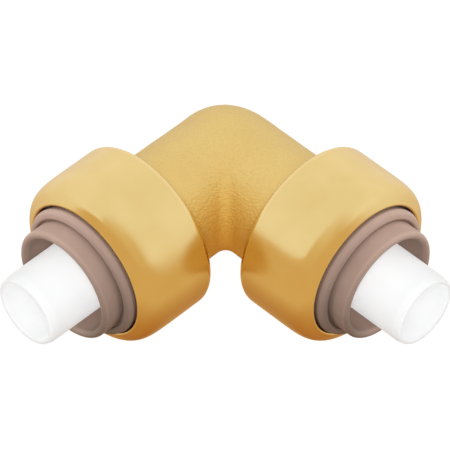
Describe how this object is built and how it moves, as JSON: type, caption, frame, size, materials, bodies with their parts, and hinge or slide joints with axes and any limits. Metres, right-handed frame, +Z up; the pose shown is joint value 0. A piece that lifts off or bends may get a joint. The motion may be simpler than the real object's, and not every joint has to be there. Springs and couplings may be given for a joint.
{
  "type": "push-fit elbow coupling",
  "caption": "Right-angle brass push-fit elbow that joins two pipes, with release collars and pipe liners at both ports.",
  "frame": {"origin": "middle of the footprint, on the plane the two caps rest on", "axes": "+X out of port A along its pipe axis, -Y out of port B along its pipe axis, +Z up, square to the plane of both pipe axes"},
  "size_m": [0.0562, 0.0562, 0.028],
  "materials": {
    "cast_brass": "fine cast grain",
    "satin_brass": "satin",
    "taupe_plastic": "semi-matt moulded",
    "white_plastic": "smooth, slightly translucent",
    "stainless": "pressed sheet",
    "grey_plastic": "moulded",
    "seal_rubber": "moulded, lubricated"
  },
  "bodies": {
    "fitting": {"elbow_body": "cast_brass", "retaining_cap_a": "satin_brass", "retaining_cap_b": "satin_brass", "seal_protector_a": "grey_plastic", "seal_protector_b": "grey_plastic", "o_ring_a": "seal_rubber", "o_ring_b": "seal_rubber", "grab_ring_a": "stainless", "grab_ring_b": "stainless"},
    "collar_a": {"release_collar_a": "taupe_plastic"},
    "collar_b": {"release_collar_b": "taupe_plastic"},
    "liner_a": {"pipe_liner_a": "white_plastic"},
    "liner_b": {"pipe_liner_b": "white_plastic"}
  },
  "joints": [
    {"name": "release_a", "type": "slide", "parent": "fitting", "child": "collar_a", "axis": [1, 0, 0], "range_m": [-0.0014, 0], "deforming": ["grab_ring_a"]},
    {"name": "release_b", "type": "slide", "parent": "fitting", "child": "collar_b", "axis": [0, -1, 0], "range_m": [-0.0014, 0], "deforming": ["grab_ring_b"]},
    {"name": "liner_out_a", "type": "slide", "parent": "fitting", "child": "liner_a", "axis": [1, 0, 0], "range_m": [0, 0.028]},
    {"name": "liner_out_b", "type": "slide", "parent": "fitting", "child": "liner_b", "axis": [0, -1, 0], "range_m": [0, 0.028]}
  ]
}
